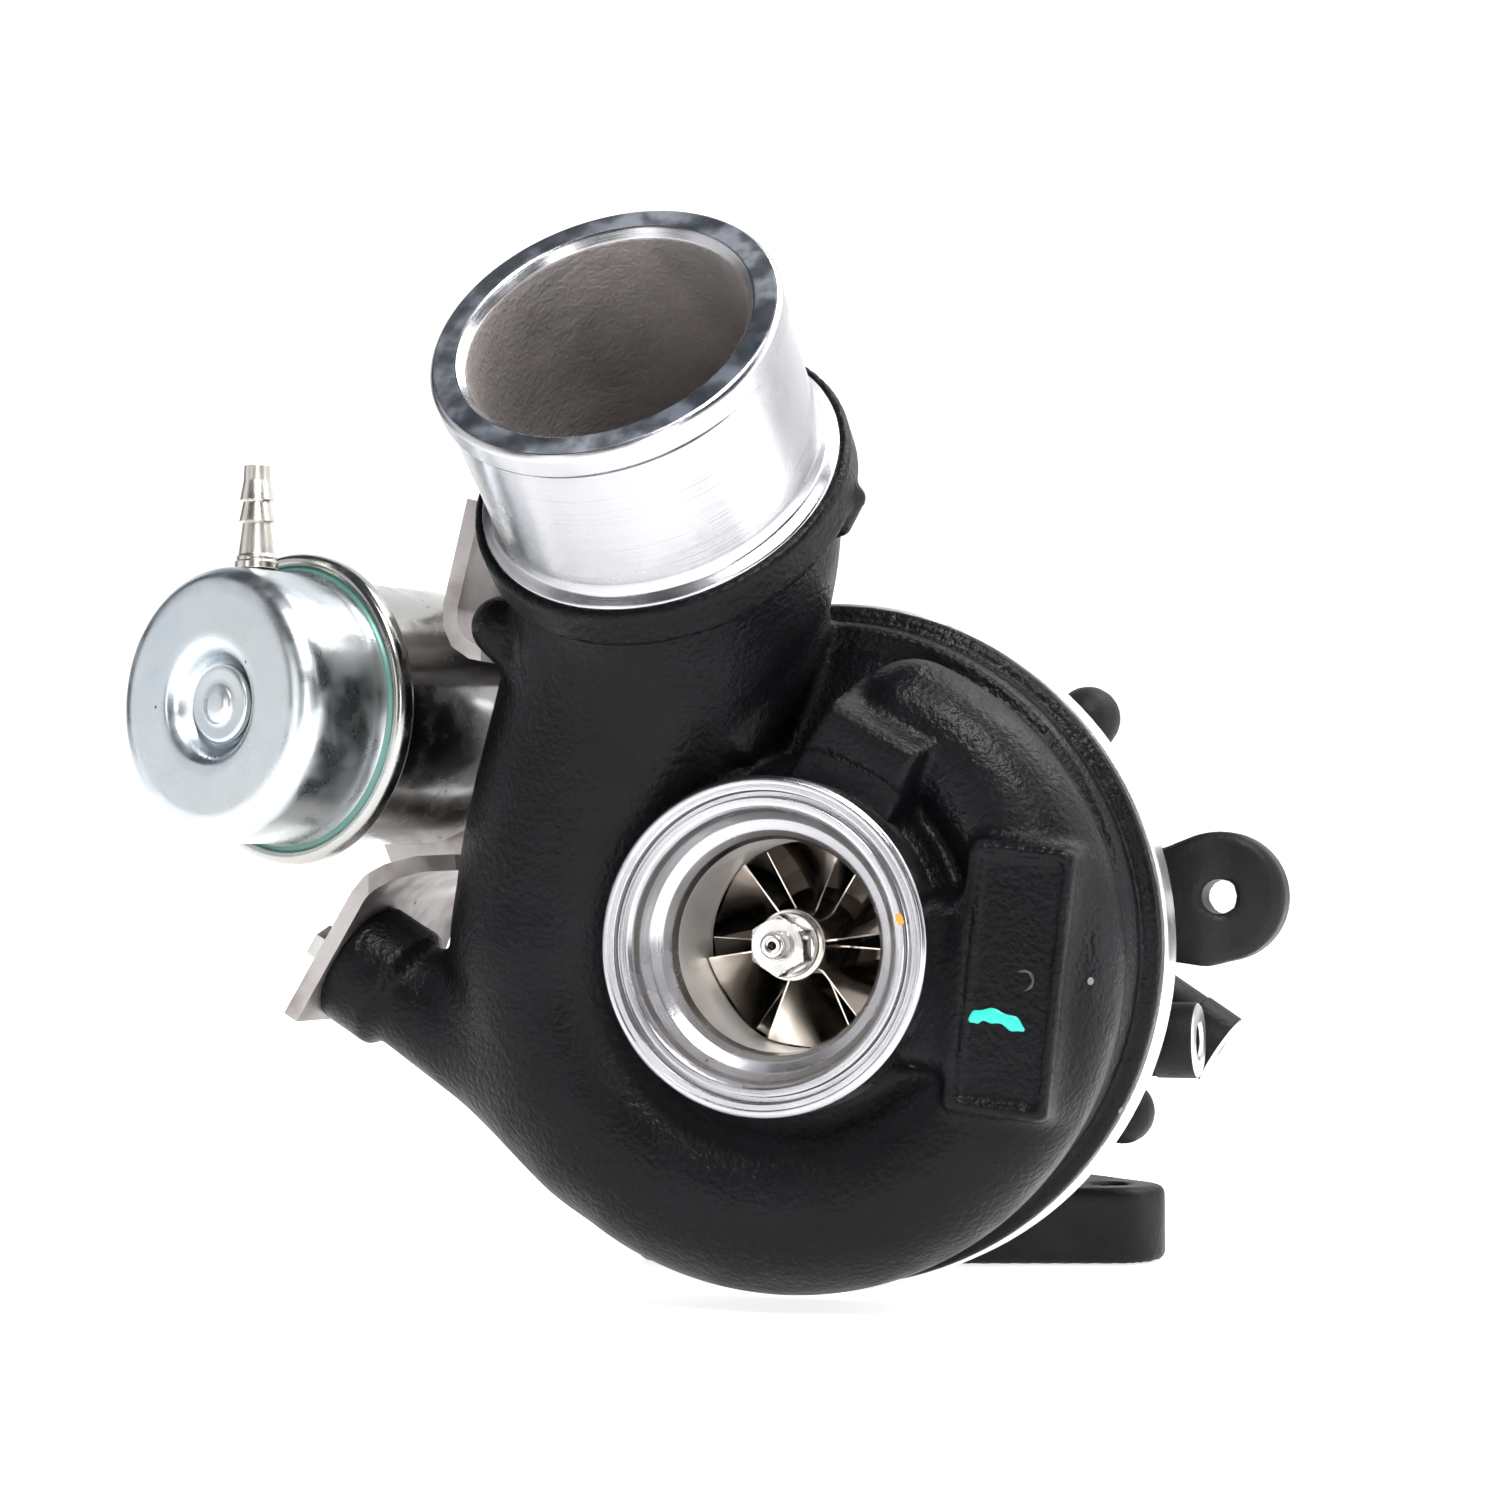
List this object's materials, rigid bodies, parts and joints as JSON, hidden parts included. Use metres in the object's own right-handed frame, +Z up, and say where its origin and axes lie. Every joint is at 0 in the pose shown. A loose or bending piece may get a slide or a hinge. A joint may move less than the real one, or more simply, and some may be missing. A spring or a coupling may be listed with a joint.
{
  "type": "turbocharger",
  "caption": "Exhaust turbocharger with a scroll compressor cover, angled outlet tube, finned rotor on floating bushes, foot-flanged turbine housing and a wastegate worked by a vacuum can.",
  "frame": {"origin": "centre of the turbine foot's three-bolt circle, on the foot's bottom face", "axes": "+Z up from the foot, the shaft runs along +Y from the compressor inlet to the turbine outlet, +X to the side of the coolant ports"},
  "size_m": [0.241, 0.2648, 0.2229],
  "materials": {
    "black_casting": "satin black powder coat over cast aluminium and iron",
    "black_hot_casting": "satin black heat-resistant coat over cast iron",
    "machined_aluminium": "fine turned",
    "black_screws": "black oxide",
    "nickel_wheel": "polished nickel",
    "bright_steel": "ground",
    "bearing_bronze": "machined bronze",
    "spring_steel": "tempered",
    "hot_alloy": "cast heat-resistant alloy",
    "stainless_sheet": "pressed stainless",
    "zinc_fastener": "zinc plate",
    "zinc_plate": "bright zinc plate with a pale yellow and blue tint",
    "steel_plate": "bare pressed steel",
    "black_rubber": "matt"
  },
  "bodies": {
    "housing": {"compressor_cover": "black_casting", "cover_seal_ring": "black_rubber", "compressor_backplate": "machined_aluminium", "cover_screws": "black_screws", "thrust_bearing": "bearing_bronze", "oil_baffle": "bright_steel", "baffle_circlip": "spring_steel", "compressor_seal_ring": "spring_steel", "bush_circlips": "spring_steel", "centre_housing": "black_casting", "turbine_seal_ring": "spring_steel", "heat_shield": "stainless_sheet", "turbine_housing": "black_hot_casting", "clamp_plates": "stainless_sheet", "clamp_bolts": "zinc_fastener", "lever_bush": "hot_alloy", "front_can": "zinc_plate", "can_rivet": "zinc_plate", "hose_barb": "zinc_fastener", "rear_can": "zinc_plate", "rod_gland": "black_rubber", "can_studs": "zinc_fastener", "can_nuts": "zinc_fastener", "actuator_bracket": "steel_plate", "bracket_bolts": "zinc_fastener", "actuator_spring": "spring_steel", "diaphragm": "black_rubber"},
    "rotor": {"turbine_wheel": "hot_alloy", "compressor_wheel": "nickel_wheel", "shaft_nut": "bright_steel", "oil_flinger": "bright_steel", "thrust_collar": "bright_steel"},
    "front_bush": {"front_bush": "bearing_bronze"},
    "rear_bush": {"rear_bush": "bearing_bronze"},
    "rod": {"actuator_rod": "bright_steel", "piston_cup": "zinc_plate", "rod_locknut": "zinc_fastener", "rod_end": "zinc_fastener"},
    "wastegate": {"inner_lever": "hot_alloy", "outer_lever": "steel_plate", "lever_pin": "bright_steel", "pin_clip": "spring_steel", "wastegate_valve": "hot_alloy", "valve_washer": "hot_alloy"}
  },
  "joints": [
    {"name": "rotor_spin", "type": "hinge", "parent": "housing", "child": "rotor", "pos_m": [0.013, -0.064, 0.075], "axis": [0, 1, 0], "continuous": true},
    {"name": "front_bush_spin", "type": "hinge", "parent": "housing", "child": "front_bush", "pos_m": [0.013, -0.0675, 0.075], "axis": [0, 1, 0], "continuous": true},
    {"name": "rear_bush_spin", "type": "hinge", "parent": "housing", "child": "rear_bush", "pos_m": [0.013, -0.0495, 0.075], "axis": [0, 1, 0], "continuous": true},
    {"name": "rod_stroke", "type": "slide", "parent": "housing", "child": "rod", "axis": [0.3173, 0.9483, 0], "range_m": [0, 0.01], "stiffness_N_per_m": 6000, "springref_m": -0.006, "deforming": ["actuator_spring", "diaphragm"]},
    {"name": "wastegate_swing", "type": "hinge", "parent": "housing", "child": "wastegate", "pos_m": [-0.05229, 0.0183, 0.09622], "axis": [-0.9483, 0.3173, 0], "range_deg": [0, 19.2]}
  ],
  "couplings": [
    {"joint": "front_bush_spin", "follows": "rotor_spin", "ratio": 0.3},
    {"joint": "rear_bush_spin", "follows": "rotor_spin", "ratio": 0.3},
    {"joint": "wastegate_swing", "follows": "rod_stroke", "rad_per_m": 33.49}
  ]
}
